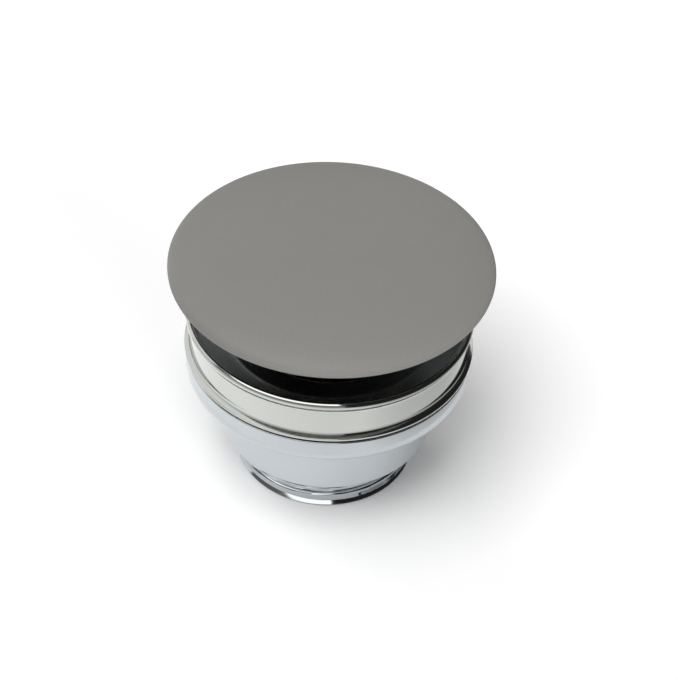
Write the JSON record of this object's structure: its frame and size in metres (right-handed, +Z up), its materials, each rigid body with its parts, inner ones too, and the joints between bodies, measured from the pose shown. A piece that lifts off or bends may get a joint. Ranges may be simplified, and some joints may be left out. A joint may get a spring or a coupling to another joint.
{
  "type": "sink drain valve",
  "caption": "Push-to-open basin waste: a matt ceramic cover on a sprung plunger over a chromed dish flange, cup nut and threaded tail.",
  "frame": {"origin": "centre of the tail's lower end face, on the axis", "axes": "+Z up the axis from the tail to the cover; +X to the right in the picture's view, +Y away from it"},
  "size_m": [0.072, 0.072, 0.0618],
  "materials": {
    "matt_grey_ceramic": "matt, warm grey",
    "white_foam": "closed-cell foam tape",
    "flange_chrome": "polished",
    "cup_chrome": "polished",
    "black_rubber": "moulded, matt",
    "spring_steel": "bright drawn",
    "turned_brass": "turned, unplated",
    "white_acetal": "moulded",
    "black_acetal": "moulded"
  },
  "bodies": {
    "lower_cup": {"lower_cup": "cup_chrome", "cup_gasket": "black_rubber"},
    "flange_gasket": {"flange_gasket": "black_rubber"},
    "upper_flange": {"upper_flange": "flange_chrome", "cartridge_body": "turned_brass", "cartridge_o_ring": "black_rubber", "cartridge_nut": "turned_brass", "guide_bush": "white_acetal", "retaining_ring": "spring_steel", "spring_seat": "white_acetal", "plunger_spring": "spring_steel"},
    "plug": {"ceramic_cap": "matt_grey_ceramic", "bonding_pad": "white_foam", "plug_base": "black_acetal", "plug_seal": "black_rubber", "cap_stud": "spring_steel", "cap_lock_nut": "spring_steel", "plunger_rod": "spring_steel", "cam_sleeve": "white_acetal"},
    "latch_ring": {"latch_ring": "black_acetal"}
  },
  "joints": [
    {"name": "clamp_lift", "type": "slide", "parent": "lower_cup", "child": "flange_gasket", "axis": [0, 0, 1], "range_m": [0, 0.012]},
    {"name": "clamp_turn", "type": "hinge", "parent": "flange_gasket", "child": "upper_flange", "pos_m": [0, 0, 0.0342], "axis": [0, 0, 1], "range_deg": [0, 1870]},
    {"name": "plug_travel", "type": "slide", "parent": "upper_flange", "child": "plug", "axis": [0, 0, 1], "range_m": [-0.0097, 0], "stiffness_N_per_m": 400, "springref_m": 0.012, "deforming": ["plunger_spring"]},
    {"name": "latch_turn", "type": "hinge", "parent": "upper_flange", "child": "latch_ring", "pos_m": [0, 0, 0.0231], "axis": [0, 0, 1], "range_deg": [0, 45]}
  ],
  "couplings": [
    {"joint": "clamp_lift", "follows": "clamp_turn", "m_per_rad": 0.00036749},
    {"joint": "latch_turn", "follows": "plug_travel", "rad_per_m": -80.96}
  ]
}
